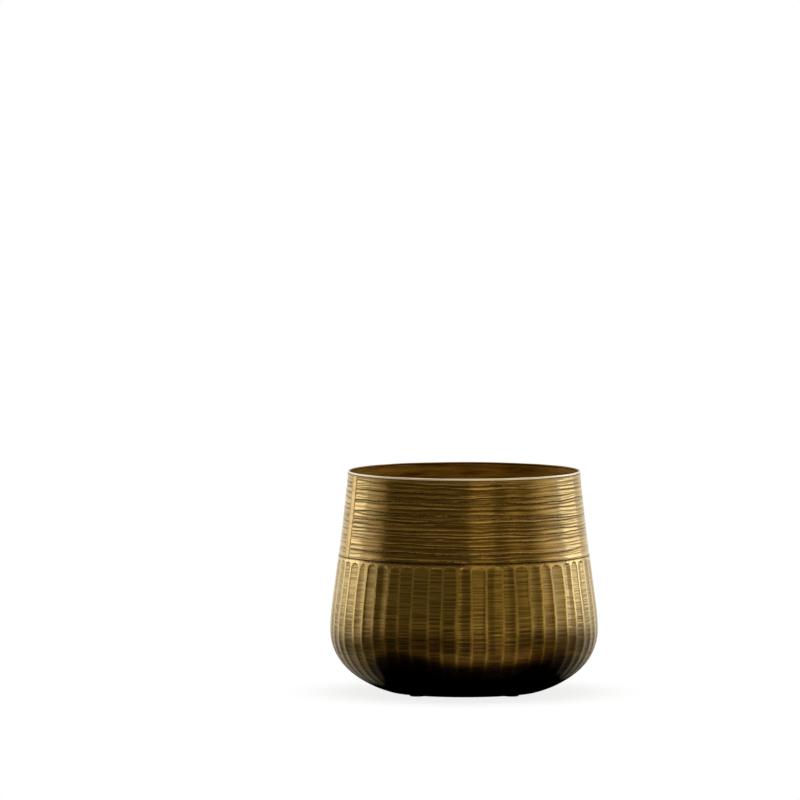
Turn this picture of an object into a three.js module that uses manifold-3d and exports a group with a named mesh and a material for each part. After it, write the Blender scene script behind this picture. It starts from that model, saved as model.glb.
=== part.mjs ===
// Round plant pot worked by hand in sheet brass, about 200 mm across and 166 mm high.
// A rolled collar cut with level grooves stands on a spun bowl with upright flutes.
// The collar is closed by a plain strip over its joint and finished with a wire round the mouth.
// A disc closes the bowl from inside, and four rubber pads lift it off the table.
// Units are millimetres and +Z is up. The origin is on the table under the middle of the pot.
// The front of the pot faces -Y, and angles round it run from the front towards +X.
import * as THREE from "three";
import { mergeVertices } from "three/addons/utils/BufferGeometryUtils.js";
import Module from "manifold-3d";

const wasm = await Module();
wasm.setup();

// Outline of the pot, on its outside
const HEIGHT = 166;
const MOUTH_RADIUS = 86.7;
const BELLY_RADIUS = 100;
const BELLY_HEIGHT = 47;
const BASE_RADIUS = 56;
const COLLAR_HEIGHT = 61.6;
const SHEET = 1.2;

// How the outline curves: each share is of the height between the two ends of its curve
const TURN_UNDER_THE_BELLY = 0.78;
const TURN_OVER_THE_BELLY = 0.16;
const LEAN_OF_THE_WALL = 0.71;
const WALL_ANGLE_AT_THE_MOUTH = THREE.MathUtils.degToRad(5.7);

// Upright flutes of the bowl
const FLUTE_COUNT = 54;
const FLUTE_DEPTH = 0.7;
const FLUTE_RIDGE = 2.2;
const FLUTE_ROUND_TOP = 5;
const PLAIN_BAND_OVER_FLUTES = 3;
const LEAST_FLUTE_FLOOR = 1 / 3;

// Level grooves of the collar. Each one's depth fades and its height wanders in waves round the pot,
// and the waves are turned on by so many radians from one groove to the next.
const GROOVE_COUNT = 18;
const GROOVE_DEPTH = 0.6;
const GROOVE_FADING = 0.3;
const GROOVE_WANDER = 0.35;
const WAVES_OF_FADING = 3;
const WAVES_OF_WANDER = 2;
const TURN_OF_FADING = 2.4;
const TURN_OF_WANDER = 1.7;
const PLAIN_EDGE_OF_COLLAR = 1.6;

// Joint between the collar and the bowl
const LAP = 8;
const JOGGLE = 3;

// Strip over the collar's joint, well round to the left of the front
const STRIP_ANGLE = THREE.MathUtils.degToRad(-69);
const STRIP_WIDTH = 7;
const STRIP_THICKNESS = 0.8;
const BUTT_GAP = 0.5;

// Wire round the mouth
const RIM_WIRE = 1.6;

// Bottom
const BASE_OPENING_RADIUS = 43;
const BASE_DISC_THICKNESS = 1.5;
const BASE_DISC_CLEARANCE = 1;
const PAD_COUNT = 4;
const PAD_RADIUS = 5.5;
const PAD_HEIGHT = 1;

// Film of solder between curved pieces
const SEAT = 0.3;

// Fineness of the solids
const COLLAR_COLUMNS = 54;
const COLUMNS_A_FLUTE = 3;
const ROWS_UNDER_THE_BELLY = 7;
const ROWS_OVER_THE_BELLY = 2;
const ROWS_INSIDE_THE_BELLY = 4;
const WIRE_SIDES = 8;
const ROUND_SIDES = 48;
const PAD_SIDES = 20;
const SAME_POINT = 1e-3;
const NARROWEST_STEP = 1e-6;

const brass = { color: 0xa5813e, roughness: 0.42, metalness: 1 };
const worn = { color: 0xd9c28c, roughness: 0.3, metalness: 1 };
const dark = { color: 0x6b5220, roughness: 0.55, metalness: 1 };
const rubber = { color: 0x1d1c1a, roughness: 0.85, metalness: 0 };

const bandHeight = HEIGHT - COLLAR_HEIGHT;
const collarFoot = bandHeight + SEAT;
const collarTop = HEIGHT - RIM_WIRE - SEAT;

// The outline is two curves that meet at the belly, where the wall stands upright.
const foot = new THREE.Vector2(BASE_RADIUS, PAD_HEIGHT);
const belly = new THREE.Vector2(BELLY_RADIUS, BELLY_HEIGHT);
const mouth = new THREE.Vector2(MOUTH_RADIUS, HEIGHT);
const rise = BELLY_HEIGHT - PAD_HEIGHT;
const wallRise = HEIGHT - BELLY_HEIGHT;
const lean = wallRise * LEAN_OF_THE_WALL;
const underBelly = new THREE.CubicBezierCurve(
  foot,
  foot,
  new THREE.Vector2(BELLY_RADIUS, BELLY_HEIGHT - rise * TURN_UNDER_THE_BELLY),
  belly,
);
const overBelly = new THREE.CubicBezierCurve(
  belly,
  new THREE.Vector2(BELLY_RADIUS, BELLY_HEIGHT + wallRise * TURN_OVER_THE_BELLY),
  new THREE.Vector2(
    MOUTH_RADIUS + lean * Math.sin(WALL_ANGLE_AT_THE_MOUTH),
    HEIGHT - lean * Math.cos(WALL_ANGLE_AT_THE_MOUTH),
  ),
  mouth,
);

// Outside radius of the wall at a height above the belly, found by halving the curve's range.
function radiusAt(z) {
  let low = 0;
  let high = 1;
  while (high - low > NARROWEST_STEP) {
    const middle = (low + high) / 2;
    if (overBelly.getPoint(middle).y < z) low = middle;
    else high = middle;
  }
  return overBelly.getPoint(low).x;
}

// The points of a line through the wall, moved in by a distance square to the line.
function movedIn(points, distance) {
  return points.map((point, i) => {
    const before = points[Math.max(i - 1, 0)];
    const after = points[Math.min(i + 1, points.length - 1)];
    const along = after.clone().sub(before).normalize();
    return new THREE.Vector2(point.x - along.y * distance, point.y + along.x * distance);
  });
}

// Turns a closed profile round the Z axis. shape may move each point: it gets the point's row in the
// profile, its column and its angle, and returns the radius, height and angle to put it at.
function revolve(profile, columns, startAngle = 0, shape = null) {
  const geometry = new THREE.LatheGeometry([...profile, profile[0]], columns, startAngle);
  const rows = profile.length + 1;
  const position = geometry.getAttribute("position");
  for (let i = 0; i < position.count && shape; i++) {
    const row = (i % rows) % profile.length;
    const column = Math.floor(i / rows) % columns;
    const angle = startAngle + (column * 2 * Math.PI) / columns;
    const at = shape(profile[row], row, column, angle);
    position.setXYZ(i, at.radius * Math.sin(at.angle), at.height, at.radius * Math.cos(at.angle));
  }
  return geometry.rotateX(Math.PI / 2);
}

function solidOf(geometry) {
  const bare = geometry.clone().deleteAttribute("normal").deleteAttribute("uv");
  const merged = mergeVertices(bare, SAME_POINT);
  return new wasm.Manifold(
    new wasm.Mesh({
      numProp: 3,
      vertProperties: merged.getAttribute("position").array,
      triVerts: new Uint32Array(merged.index.array),
    }),
  );
}

function geometryOf(solid) {
  const { vertProperties, triVerts } = solid.getMesh();
  const geometry = new THREE.BufferGeometry();
  geometry.setAttribute("position", new THREE.BufferAttribute(vertProperties, 3));
  geometry.setIndex(new THREE.BufferAttribute(triVerts, 1));
  geometry.computeVertexNormals();
  return geometry;
}

// A box that stands on the joint line of the collar, as wide as asked, from the axis outwards.
function slabOnJoint(width) {
  const reach = 2 * BELLY_RADIUS;
  const slab = new THREE.BoxGeometry(width, reach, 2 * HEIGHT);
  slab.translate(0, -reach / 2, HEIGHT / 2);
  return solidOf(slab.rotateZ(STRIP_ANGLE));
}

// How near an angle is to the joint of the collar, in millimetres round the mouth.
function distanceFromJoint(angle) {
  const turn = Math.atan2(Math.sin(angle - STRIP_ANGLE), Math.cos(angle - STRIP_ANGLE));
  return Math.abs(turn) * MOUTH_RADIUS;
}

// Each groove is a crest and a valley in the outline. It fades and wanders a little round the pot,
// as cut by hand, and stops short of the strip.
function collarGeometry() {
  const low = collarFoot + PLAIN_EDGE_OF_COLLAR;
  const pitch = (collarTop - PLAIN_EDGE_OF_COLLAR - low) / GROOVE_COUNT;
  const heights = [collarFoot];
  for (let k = 0; k < GROOVE_COUNT; k++) {
    heights.push(low + k * pitch, low + (k + 0.5) * pitch);
  }
  heights.push(collarTop - PLAIN_EDGE_OF_COLLAR, collarTop);
  const outside = heights.map((z) => new THREE.Vector2(radiusAt(z), z));
  const insideHeights = [collarTop, (collarTop + collarFoot) / 2, collarFoot];
  const inside = insideHeights.map((z) => new THREE.Vector2(radiusAt(z) - SHEET, z));

  const shape = (point, row, column, angle) => {
    const grooved = row > 1 && row < outside.length - 2;
    const clear = distanceFromJoint(angle) > STRIP_WIDTH;
    if (!grooved || !clear) return { radius: point.x, height: point.y, angle };
    const groove = Math.floor((row - 1) / 2);
    const fading = GROOVE_FADING * (1 - Math.sin(WAVES_OF_FADING * angle + TURN_OF_FADING * groove));
    const depth = row % 2 === 0 ? GROOVE_DEPTH * (1 - fading) : 0;
    const wander = GROOVE_WANDER * Math.sin(WAVES_OF_WANDER * angle + TURN_OF_WANDER * groove);
    return { radius: point.x - depth, height: point.y + wander, angle };
  };
  const ring = revolve([...outside, ...inside], COLLAR_COLUMNS, STRIP_ANGLE, shape);
  return geometryOf(solidOf(ring).subtract(slabOnJoint(BUTT_GAP)));
}

// The strip follows the collar's plain outside, from its foot to just under the rim wire.
function stripGeometry() {
  const middle = (collarFoot + collarTop) / 2;
  const heights = [collarFoot, middle, collarTop];
  const back = heights.map((z) => new THREE.Vector2(radiusAt(z) + SEAT, z));
  const front = back.map((point) => new THREE.Vector2(point.x + STRIP_THICKNESS, point.y));
  const ring = revolve([...front, ...back.reverse()], COLLAR_COLUMNS, STRIP_ANGLE);
  return geometryOf(solidOf(ring).intersect(slabOnJoint(STRIP_WIDTH)));
}

// How wide a flute's floor is at a height, as a share of its full width: it ends in a half circle,
// whose topmost bit is left square.
function roundTop(z, shoulder) {
  const risen = THREE.MathUtils.clamp((z - shoulder) / FLUTE_ROUND_TOP, 0, 1);
  return Math.max(Math.sqrt(1 - risen * risen), LEAST_FLUTE_FLOOR);
}

// The bowl's outline runs from the opening under the base to the shoulder that carries the collar,
// steps in by one sheet and goes on up inside the collar as a lip.
function bowlGeometry() {
  const fluteTop = bandHeight - PLAIN_BAND_OVER_FLUTES;
  const fluteShoulder = fluteTop - FLUTE_ROUND_TOP;
  const lower = underBelly.getPoints(ROWS_UNDER_THE_BELLY);
  const wallStep = (fluteShoulder - BELLY_HEIGHT) / (ROWS_OVER_THE_BELLY + 1);
  const wallHeights = [];
  for (let k = 1; k <= ROWS_OVER_THE_BELLY; k++) wallHeights.push(BELLY_HEIGHT + k * wallStep);
  wallHeights.push(fluteShoulder, (fluteShoulder + fluteTop) / 2, fluteTop, bandHeight);
  const wall = wallHeights.map((z) => new THREE.Vector2(radiusAt(z), z));
  const opening = new THREE.Vector2(BASE_OPENING_RADIUS, PAD_HEIGHT);
  const outside = [opening, ...lower, ...wall];

  const lipIn = SHEET + SEAT;
  const lipTop = bandHeight + LAP;
  const lip = [
    new THREE.Vector2(radiusAt(bandHeight) - lipIn, bandHeight),
    new THREE.Vector2(radiusAt(lipTop) - lipIn, lipTop),
    new THREE.Vector2(radiusAt(lipTop) - lipIn - SHEET, lipTop),
    new THREE.Vector2(radiusAt(bandHeight) - lipIn - SHEET, bandHeight),
  ];
  const insideWall = [bandHeight - JOGGLE, (bandHeight - JOGGLE + BELLY_HEIGHT) / 2].map(
    (z) => new THREE.Vector2(radiusAt(z) - SHEET, z),
  );
  const insideLower = movedIn(underBelly.getPoints(ROWS_INSIDE_THE_BELLY), SHEET).slice(1).reverse();
  const insideFlange = [
    new THREE.Vector2(BASE_RADIUS, PAD_HEIGHT + SHEET),
    new THREE.Vector2(BASE_OPENING_RADIUS, PAD_HEIGHT + SHEET),
  ];
  const profile = [...outside, ...lip, ...insideWall, ...insideLower, ...insideFlange];

  // Three columns a flute: the crest of the ridge, then the near and far edges of the floor.
  // The front looks into the middle of a flute. The edges of the base and of the shoulder stay plain.
  const fluteAngle = (2 * Math.PI) / FLUTE_COUNT;
  const baseEdge = outside.indexOf(lower[1]);
  const shoulder = outside.length - 1;
  const shape = (point, row, column, angle) => {
    const corner = column % COLUMNS_A_FLUTE;
    const crest = angle - (corner * fluteAngle) / COLUMNS_A_FLUTE;
    const narrowed = row <= shoulder ? roundTop(point.y, fluteShoulder) : 1;
    const floorShare = Math.max(1 - FLUTE_RIDGE / (fluteAngle * point.x), LEAST_FLUTE_FLOOR);
    const halfFloor = (narrowed * floorShare * fluteAngle) / 2;
    const across = [0, fluteAngle / 2 - halfFloor, fluteAngle / 2 + halfFloor][corner];
    const carved = corner > 0 && row > baseEdge && row < shoulder - 1;
    return { radius: point.x - (carved ? FLUTE_DEPTH : 0), height: point.y, angle: crest + across };
  };
  const columns = FLUTE_COUNT * COLUMNS_A_FLUTE;
  return revolve(profile, columns, fluteAngle / 2, shape);
}

// The disc lies inside the bowl on the flat ring round its opening.
function baseDiscGeometry() {
  const radius = BASE_RADIUS - BASE_DISC_CLEARANCE;
  const disc = new THREE.CylinderGeometry(radius, radius, BASE_DISC_THICKNESS, ROUND_SIDES);
  return disc.rotateX(Math.PI / 2);
}

function padGeometry() {
  const pad = new THREE.CylinderGeometry(PAD_RADIUS, PAD_RADIUS, PAD_HEIGHT, PAD_SIDES);
  return pad.rotateX(Math.PI / 2);
}

function piece(name, geometry, finish) {
  const mesh = new THREE.Mesh(geometry, new THREE.MeshStandardMaterial(finish));
  mesh.name = name;
  return mesh;
}

const pot = new THREE.Group();

const bowl = piece("bowl", bowlGeometry(), brass);
const collar = piece("collar", collarGeometry(), brass);
const seamStrip = piece("seam_strip", stripGeometry(), brass);

const rimRadius = MOUTH_RADIUS - SHEET / 2;
const rimWire = piece(
  "rim_wire",
  new THREE.TorusGeometry(rimRadius, RIM_WIRE / 2, WIRE_SIDES, COLLAR_COLUMNS),
  worn,
);
rimWire.position.z = HEIGHT - RIM_WIRE / 2;

const baseDisc = piece("base_disc", baseDiscGeometry(), dark);
baseDisc.position.z = PAD_HEIGHT + SHEET + BASE_DISC_THICKNESS / 2;

pot.add(bowl, collar, seamStrip, rimWire, baseDisc);

// The pads are glued in the middle of the flat ring round the opening.
const padCircle = (BASE_OPENING_RADIUS + BASE_RADIUS) / 2;
for (let k = 0; k < PAD_COUNT; k++) {
  const angle = ((k + 0.5) * 2 * Math.PI) / PAD_COUNT;
  const pad = piece(`foot_pad_${k + 1}`, padGeometry(), rubber);
  pad.position.set(padCircle * Math.sin(angle), -padCircle * Math.cos(angle), PAD_HEIGHT / 2);
  pot.add(pad);
}

export default pot;
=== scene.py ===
"""Round brass plant pot, worked by hand: a level-grooved collar on an upright-fluted bowl.

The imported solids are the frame. Each visible sheet of the pot is modelled again here at full
fineness, in metres, with the origin on the table under the middle of the pot and +Z up. The front
faces -Y, and angles round the pot run from the front towards +X.
"""

import math
import random
from functools import partial

import bpy
import numpy as np
from bpy.props import FloatProperty, FloatVectorProperty, IntProperty, PointerProperty
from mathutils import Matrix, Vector


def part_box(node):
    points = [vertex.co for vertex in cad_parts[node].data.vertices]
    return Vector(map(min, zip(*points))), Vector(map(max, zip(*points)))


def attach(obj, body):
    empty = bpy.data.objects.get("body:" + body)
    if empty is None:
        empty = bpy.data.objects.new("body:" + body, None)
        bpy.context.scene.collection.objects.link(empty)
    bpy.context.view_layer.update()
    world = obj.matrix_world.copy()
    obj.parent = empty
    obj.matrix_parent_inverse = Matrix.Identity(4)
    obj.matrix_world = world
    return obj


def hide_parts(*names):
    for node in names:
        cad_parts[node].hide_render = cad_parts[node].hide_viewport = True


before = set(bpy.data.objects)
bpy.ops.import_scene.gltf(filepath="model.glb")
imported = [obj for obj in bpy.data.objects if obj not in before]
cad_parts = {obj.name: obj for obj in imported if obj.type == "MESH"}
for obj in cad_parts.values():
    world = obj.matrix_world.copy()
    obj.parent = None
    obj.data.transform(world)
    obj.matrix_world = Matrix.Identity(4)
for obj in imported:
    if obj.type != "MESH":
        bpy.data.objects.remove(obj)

bl_info = {
    "name": "Brass Plant Pot",
    "version": (1, 0, 0),
    "blender": (4, 5, 0),
    "location": "3D View > Sidebar > Plant Pot",
    "description": "Models the worked brass of a round plant pot and sets its studio",
    "category": "Add Mesh",
}

MM = 0.001
FULL_TURN = 2 * math.pi

# Boxes of the solids that the visible pieces follow
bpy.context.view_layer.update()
COLLAR_LOW, COLLAR_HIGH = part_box("collar")
BOWL_LOW, BOWL_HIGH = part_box("bowl")
WIRE_LOW, WIRE_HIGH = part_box("rim_wire")
DISC_LOW, DISC_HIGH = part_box("base_disc")
FOOT_PADS = sorted(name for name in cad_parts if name.startswith("foot_pad"))

HEIGHT = WIRE_HIGH.z
BELLY_RADIUS = BOWL_HIGH.x
PAD_HEIGHT = BOWL_LOW.z
# The visible collar laps a little further down over the bowl than its solid does
COLLAR_FOOT = COLLAR_LOW.z - 1.3 * MM

# The outline's own values, which the boxes don't hold
BELLY_HEIGHT = 47 * MM
MOUTH_RADIUS = 86.7 * MM
BASE_RADIUS = 56 * MM
BASE_OPENING = 43 * MM
TURN_UNDER_THE_BELLY = 0.78
TURN_OVER_THE_BELLY = 0.16
LEAN_OF_THE_WALL = 0.71
WALL_ANGLE_AT_THE_MOUTH = math.radians(5.7)
FLUTE_COUNT = 54
STRIP_ANGLE = math.radians(-69)


def hex_colour(text):
    """Turns an sRGB hex colour into the linear colour that a node takes."""
    channels = [int(text[i : i + 2], 16) / 255 for i in (0, 2, 4)]
    linear = [c / 12.92 if c <= 0.04045 else ((c + 0.055) / 1.055) ** 2.4 for c in channels]
    return (*linear, 1.0)


def length_property(name, default, least, most, description):
    """A length property in metres, with its default and limits given in millimetres."""
    return FloatProperty(name=name, description=description, default=default * MM, min=least * MM,
                         max=most * MM, subtype="DISTANCE", unit="LENGTH")


def colour_property(name, text, description):
    """A colour property with its default given as sRGB hex."""
    return FloatVectorProperty(name=name, description=description, default=hex_colour(text),
                               size=4, min=0, max=1, subtype="COLOR")


class PotSizes(bpy.types.PropertyGroup):
    """Sizes of the worked sheet that someone may want to change."""

    sheet: length_property("Sheet", 1.2, 0.4, 3, "Thickness of the brass sheet")
    grooves: IntProperty(name="Grooves", description="Level grooves that run most of the way round",
                         default=20, min=4, max=30)
    scratches: IntProperty(name="Light grooves", description="Shallow grooves between the deep ones",
                           default=30, min=0, max=40)
    groove_depth: length_property("Groove depth", 0.5, 0.1, 1, "Depth of the deepest groove")
    groove_wander: length_property("Groove wander", 0.9, 0, 2, "How far a groove strays from level")
    billow_depth: length_property("Unevenness", 0.2, 0, 0.5, "How unevenly the lands were planished")
    flute_depth: length_property("Flute depth", 0.5, 0, 1, "Depth of a flute's middle below its ridges")
    ridge: length_property("Ridge", 1.35, 0.8, 3, "Width of the rounded ridge between two flutes")
    ripple_depth: length_property("Ripple depth", 0.2, 0, 0.3, "Depth of the scraper's ripples in a flute")
    strip_width: length_property("Strip width", 8.4, 3, 12, "Width of the strip over the joint")
    strip_thickness: length_property("Strip thickness", 0.75, 0.3, 2, "Thickness of that strip")


class PotColours(bpy.types.PropertyGroup):
    """Colours of the brass and its patina."""

    brass: colour_property("Brass", "E7CC92", "Rubbed brass on the lands and ridges")
    # The two browner brasses also carry the painted shade over the front of the pot
    aged: colour_property("Aged brass", "B09A69", "Browner brass on the floors of the flutes")
    aged_collar: colour_property("Aged collar", "B0945F", "Browner brass on the front of the collar")
    # Orange of the band of painted reflection over the painted dark base
    rubbed: colour_property("Rubbed through", "CCA96C", "Orange brass where the base's patina is rubbed")
    film: colour_property("Film", "C8A050", "Dull brown film inside the pot")
    film_dark: colour_property("Dark film", "7E5A20", "Darker streaks in that film")
    # Also the colour of the painted shade under the rim wire, in the laps and at the flutes' tops
    cuts: colour_property("Patina in the cuts", "3A2810", "Brown patina left in the grooves")
    # Pale brass, made near-white as a painted highlight along the rim
    wire: colour_property("Rim wire", "FFF6E0", "Brass wire of the rim, rubbed bright")
    disc: colour_property("Base disc", "8A6C34", "Dull brass of the base disc")
    rubber: colour_property("Rubber", "24221F", "Foot pads")


class StudioSettings(bpy.types.PropertyGroup):
    """Camera of the studio."""

    camera_height: FloatProperty(name="Camera elevation", description="How far the camera looks down",
                                 default=math.radians(3.85), subtype="ANGLE", unit="ROTATION")
    lens: FloatProperty(name="Lens", description="Focal length of the camera", default=500, min=50,
                        subtype="DISTANCE_CAMERA")


# Modelling helpers

UV_MAP = "around_and_along"
SMOOTH_ANGLE = math.radians(50)
BEVEL_ANGLE = math.radians(60)


def deselect_all():
    """Leaves edit mode and selects nothing, so that an operator acts on its own piece alone."""
    if bpy.context.object and bpy.context.object.mode != "OBJECT":
        bpy.ops.object.mode_set(mode="OBJECT")
    bpy.ops.object.select_all(action="DESELECT")


def new_piece(name):
    """Names the mesh object that was just added and applies its place and size."""
    piece = bpy.context.object
    piece.name = piece.data.name = name
    bpy.ops.object.transform_apply(location=True, rotation=True, scale=True)
    return piece


def apply_modifier(piece, kind, **settings):
    """Adds a modifier to the active piece, sets its properties and applies it."""
    modifier = piece.modifiers.new(kind.title(), kind)
    for name, value in settings.items():
        setattr(modifier, name, value)
    bpy.ops.object.modifier_apply(modifier=modifier.name)


def turn_profile(name, profile, columns):
    """Draws a closed profile (radius, height) at the front and turns it once round the Z axis."""
    deselect_all()
    radius, height = profile[0]
    bpy.ops.mesh.primitive_plane_add(size=MM, location=(0, -radius, height))
    piece = new_piece(name)
    bpy.ops.object.mode_set(mode="EDIT")
    bpy.ops.mesh.select_all(action="SELECT")
    bpy.ops.mesh.merge(type="CENTER")
    for (r0, z0), (r1, z1) in zip(profile, profile[1:]):
        bpy.ops.mesh.extrude_region_move(TRANSFORM_OT_translate={"value": (0, r0 - r1, z1 - z0)})
    bpy.ops.mesh.select_all(action="SELECT")
    bpy.ops.mesh.edge_face_add()
    bpy.ops.mesh.delete(type="ONLY_FACE")
    bpy.ops.object.mode_set(mode="OBJECT")
    apply_modifier(piece, "SCREW", steps=columns, render_steps=columns, use_merge_vertices=True,
                   merge_threshold=1e-6)
    bpy.ops.object.mode_set(mode="EDIT")
    bpy.ops.mesh.select_all(action="SELECT")
    bpy.ops.mesh.normals_make_consistent(inside=False)
    bpy.ops.object.mode_set(mode="OBJECT")
    return piece


def finish_piece(piece, material, node):
    """Smooths a finished piece, gives it its material and sets it in the frame for its node."""
    deselect_all()
    piece.select_set(True)
    bpy.context.view_layer.objects.active = piece
    bpy.ops.object.shade_smooth_by_angle(angle=SMOOTH_ANGLE)
    piece.data.materials.append(material)
    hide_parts(node)
    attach(piece, "root")


def points_of(piece):
    """The piece's points as an array, in metres."""
    points = np.empty(len(piece.data.vertices) * 3)
    piece.data.vertices.foreach_get("co", points)
    return points.reshape(-1, 3)


def set_points(piece, angle, radius, height):
    """Moves the piece's points to new angles round the pot, radii and heights."""
    points = np.stack([radius * np.sin(angle), -radius * np.cos(angle), height], axis=1)
    piece.data.vertices.foreach_set("co", points.ravel())
    piece.data.update()


def around(points):
    """Angle from the front towards +X, and radius, of each point."""
    return np.arctan2(points[:, 0], -points[:, 1]), np.hypot(points[:, 0], points[:, 1])


def share_round(angle):
    """Share of a full turn from the front, between 0 and 1."""
    return angle / FULL_TURN % 1


def rows_of(points, profile):
    """Which point of the profile each point was turned from."""
    _, radius = around(points)
    line = np.array(profile)
    distance = (radius[:, None] - line[:, 0]) ** 2 + (points[:, 2:] - line[:, 1]) ** 2
    return np.argmin(distance, axis=1)


def set_uv(piece, u, v):
    """Lays a UV map from values at the points. A face over the seam, where u falls back to 0, is closed."""
    corners = np.empty(len(piece.data.loops), dtype=np.int64)
    piece.data.loops.foreach_get("vertex_index", corners)
    uv = np.stack([u[corners], v[corners]], axis=1)
    starts = np.empty(len(piece.data.polygons), dtype=np.int64)
    piece.data.polygons.foreach_get("loop_start", starts)
    highest = np.maximum.reduceat(uv[:, 0], starts)
    face = np.repeat(np.arange(len(starts)), np.diff(np.append(starts, len(corners))))
    uv[highest[face] - uv[:, 0] > FLUTE_COUNT / 2, 0] += FLUTE_COUNT
    layer = piece.data.uv_layers.new(name=UV_MAP)
    layer.data.foreach_set("uv", uv.ravel())


def set_attributes(piece, **attributes):
    """Stores numbers at the piece's points, for its material."""
    for name, values in attributes.items():
        attribute = piece.data.attributes.new(name=name, type="FLOAT", domain="POINT")
        attribute.data.foreach_set("value", np.ascontiguousarray(values, dtype=np.float32))


def share_between(x, start, end):
    """How far x lies on the way from start to end, as a share of it."""
    return (x - start) / (end - start)


def smooth_step(x):
    """Rises smoothly from 0 at 0 to 1 at 1."""
    t = np.clip(x, 0, 1)
    return t * t * (3 - 2 * t)


def hump(x, breadth):
    """1 at 0, and next to nothing at twice the breadth."""
    return np.exp(-((x / breadth) ** 2))


def knot_before(count, x):
    """The last knot before each x between 0 and 1, and how far x is on from it to the next one."""
    place = np.clip(x, 0, 1) * (count - 1)
    knot = np.minimum(place.astype(int), count - 2)
    return knot, place - knot


def smooth_line(rng, knots, x):
    """A smooth random line through as many knots, each between -1 and 1, for x between 0 and 1."""
    values = np.array([rng.uniform(-1, 1) for _ in range(knots + 2)])
    knot, on = knot_before(knots, x)
    blend = smooth_step(on)
    return values[knot] * (1 - blend) + values[knot + 1] * blend


def billow(rng, rows, columns, up, along):
    """Smooth random hills between -1 and 1, with as many knots up and along."""
    table = np.array([[rng.uniform(-1, 1) for _ in range(columns + 1)] for _ in range(rows + 1)])
    (row, rise), (column, run) = knot_before(rows, up), knot_before(columns, along)
    rise, run = smooth_step(rise), smooth_step(run)
    under = table[row, column] * (1 - run) + table[row, column + 1] * run
    over = table[row + 1, column] * (1 - run) + table[row + 1, column + 1] * run
    return under * (1 - rise) + over * rise


# Outline of the pot


def bezier(points, t):
    """Point of a cubic Bezier curve."""
    a, b, c, d = points
    s = 1 - t
    return tuple(s**3 * a[i] + 3 * s * s * t * b[i] + 3 * s * t * t * c[i] + t**3 * d[i] for i in (0, 1))


def outline_curves():
    """The curve under the belly and the one over it, as (radius, height) handles."""
    rise = BELLY_HEIGHT - PAD_HEIGHT
    wall_rise = HEIGHT - BELLY_HEIGHT
    lean = wall_rise * LEAN_OF_THE_WALL
    foot = (BASE_RADIUS, PAD_HEIGHT)
    belly = (BELLY_RADIUS, BELLY_HEIGHT)
    mouth = (MOUTH_RADIUS, HEIGHT)
    under = (foot, foot, (BELLY_RADIUS, BELLY_HEIGHT - rise * TURN_UNDER_THE_BELLY), belly)
    leaning = (MOUTH_RADIUS + lean * math.sin(WALL_ANGLE_AT_THE_MOUTH),
               HEIGHT - lean * math.cos(WALL_ANGLE_AT_THE_MOUTH))
    over = (belly, (BELLY_RADIUS, BELLY_HEIGHT + wall_rise * TURN_OVER_THE_BELLY), leaning, mouth)
    return under, over


UNDER_BELLY, OVER_BELLY = outline_curves()


def wall_radius(z):
    """Outside radius of the wall at a height over the belly."""
    low, high = 0.0, 1.0
    for _ in range(30):
        middle = (low + high) / 2
        if bezier(OVER_BELLY, middle)[1] < z:
            low = middle
        else:
            high = middle
    return bezier(OVER_BELLY, low)[0]


def evenly(start, end, count):
    """Evenly spaced numbers, both ends included."""
    return [start + (end - start) * i / (count - 1) for i in range(count)]


def wall(start, end, count, inward=0):
    """Points (radius, height) of the wall over the belly, evenly spaced in height."""
    return [(wall_radius(z) - inward, z) for z in evenly(start, end, count)]


# Materials


def add_node(tree, kind, *values, **settings):
    """Adds a node, sets its properties, and gives its inputs a value or a link each.

    The values go to the first inputs in order. A dictionary after them holds those of other inputs,
    by name or number. A link comes from a socket, or from a node's first output in use.
    """
    node = tree.nodes.new(kind)
    for name, value in settings.items():
        setattr(node, name, value)
    inputs = {}
    for number, value in enumerate(values):
        inputs.update(value if isinstance(value, dict) else {number: value})
    for key, value in inputs.items():
        if isinstance(value, bpy.types.Node):
            value = next(output for output in value.outputs if output.enabled)
        if isinstance(value, bpy.types.NodeSocket):
            tree.links.new(value, node.inputs[key])
        else:
            node.inputs[key].default_value = value
    return node


def set_ramp(ramp, stops):
    """Gives a Color Ramp node its stops, each a place and a colour. It runs from the first to the last."""
    elements = ramp.color_ramp.elements
    while len(elements) < len(stops):
        elements.new(1.0)
    first, last = stops[0][0], stops[-1][0]
    for element, (place, colour) in zip(elements, stops):
        element.position = share_between(place, first, last)
        element.color = colour


def node_adder(block):
    """Empties a material or world, and gives the function that adds nodes to it."""
    block.use_nodes = True
    block.node_tree.nodes.clear()
    return partial(add_node, block.node_tree)


def new_material(name):
    """An empty material, the function that adds nodes to it, and its object coordinates."""
    material = bpy.data.materials.new(name)
    add = node_adder(material)
    return material, add, add("ShaderNodeTexCoord").outputs["Object"]


# Share of the brass's colour that the painted dark reflection of the base leaves, by the height over the
# table in millimetres
PAINTED_REFLECTION_BANDS = ((15, "0A0704"), (21, "120E08"), (24.5, "1B160D"), (27, "261F13"), (29.5, "3C321B"),
                (32, "62522E"), (34, "716138"), (36, "75684C"), (39, "6E6550"), (42, "706754"),
                (47, "948C7E"), (52, "CCC8C2"), (58, "FFFFFF"))
# Heights between which the brass turns from matt, under the painted dark reflection, to shining metal
MATT_BASE_HEIGHTS = (20 * MM, 42 * MM)
# How strongly the band of painted orange reflection shows
ORANGE_REFLECTION_SHARE = 0.4
# Share of a flute's pitch that its ridge takes
RIDGE_SHARE = 0.12
BRASS_TINT = (1.0, 0.9, 0.73, 1.0)
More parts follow.
